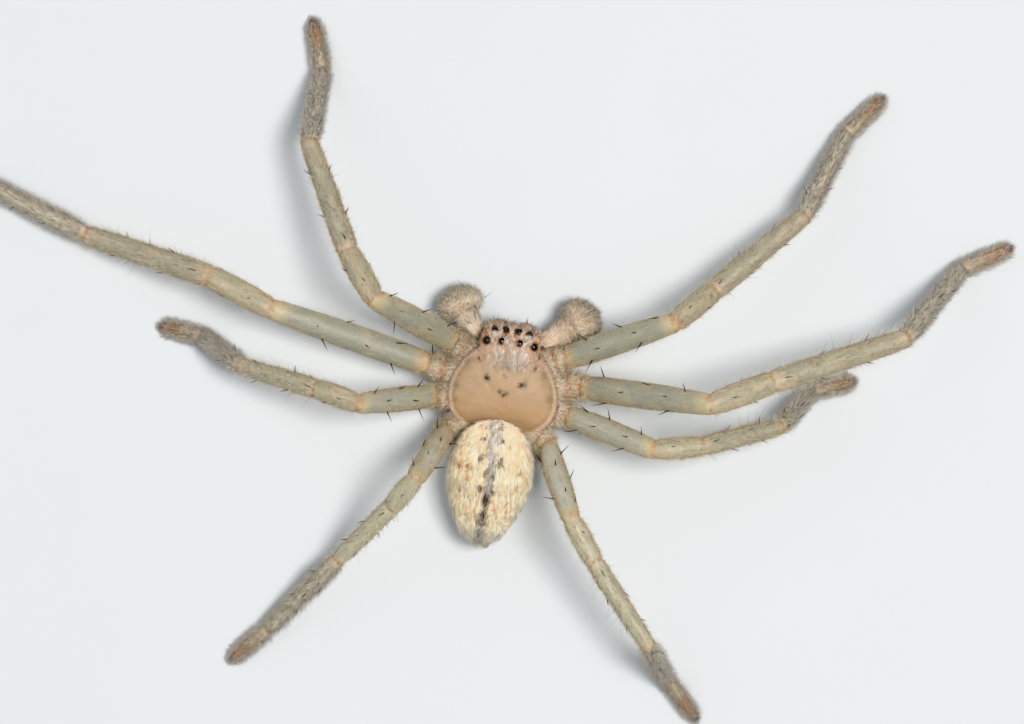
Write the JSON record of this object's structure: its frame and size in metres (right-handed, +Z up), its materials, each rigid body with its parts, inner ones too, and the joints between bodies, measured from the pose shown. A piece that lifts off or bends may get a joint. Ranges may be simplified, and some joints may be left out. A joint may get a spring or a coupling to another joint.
{
  "type": "huntsman spider",
  "caption": "Pale long-legged spider at life size in a wide resting stance, legs spread flat to both sides, with a rounded carapace, an egg-shaped abdomen and swollen palps.",
  "frame": {"origin": "on the floor, under the middle of the bounding box", "axes": "+X towards the spider's left, along its widest spread; -Y the way the head points; +Z up"},
  "size_m": [0.0772, 0.0464, 0.0116],
  "materials": {
    "carapace": "satin tan skin with a paler rim and short pale down",
    "abdomen": "matt cream skin under fine backward-lying hair, with yellow mottling and a grey middle band",
    "leg": "satin translucent grey-green skin with beige edges, orange joints and short hair",
    "leg_end": "matt grey-mauve skin under dense short hair, darker pads below",
    "palp": "matt peach skin under dense grey-brown hair",
    "chelicera": "satin brown skin with bristles",
    "fang": "glossy dark brown horn",
    "eye": "glossy black"
  },
  "bodies": {
    "root": {"abdomen": "abdomen", "cephalothorax": "carapace", "chelicera_left": "chelicera", "chelicera_right": "chelicera", "eye_front_median_left": "eye", "eye_front_median_right": "eye", "eye_front_side_left": "eye", "eye_front_side_right": "eye", "eye_rear_median_left": "eye", "eye_rear_median_right": "eye", "eye_rear_side_left": "eye", "eye_rear_side_right": "eye", "fang_left": "fang", "fang_right": "fang", "leg_1_left_femur": "leg", "leg_1_left_metatarsus": "leg_end", "leg_1_left_patella": "leg", "leg_1_left_tarsus": "leg_end", "leg_1_left_tibia": "leg", "leg_1_right_femur": "leg", "leg_1_right_metatarsus": "leg_end", "leg_1_right_patella": "leg", "leg_1_right_tarsus": "leg_end", "leg_1_right_tibia": "leg", "leg_2_left_femur": "leg", "leg_2_left_metatarsus": "leg_end", "leg_2_left_patella": "leg", "leg_2_left_tarsus": "leg_end", "leg_2_left_tibia": "leg", "leg_2_right_femur": "leg", "leg_2_right_metatarsus": "leg_end", "leg_2_right_patella": "leg", "leg_2_right_tarsus": "leg_end", "leg_2_right_tibia": "leg", "leg_3_left_femur": "leg", "leg_3_left_metatarsus": "leg_end", "leg_3_left_patella": "leg", "leg_3_left_tarsus": "leg_end", "leg_3_left_tibia": "leg", "leg_3_right_femur": "leg", "leg_3_right_metatarsus": "leg_end", "leg_3_right_patella": "leg", "leg_3_right_tarsus": "leg_end", "leg_3_right_tibia": "leg", "leg_4_left_femur": "leg", "leg_4_left_metatarsus": "leg_end", "leg_4_left_patella": "leg", "leg_4_left_tarsus": "leg_end", "leg_4_left_tibia": "leg", "leg_4_right_femur": "leg", "leg_4_right_metatarsus": "leg_end", "leg_4_right_patella": "leg", "leg_4_right_tarsus": "leg_end", "leg_4_right_tibia": "leg", "pedipalp_left_femur": "palp", "pedipalp_left_tarsus": "palp", "pedipalp_right_femur": "palp", "pedipalp_right_tarsus": "palp", "spinnerets": "abdomen"}
  },
  "joints": []
}
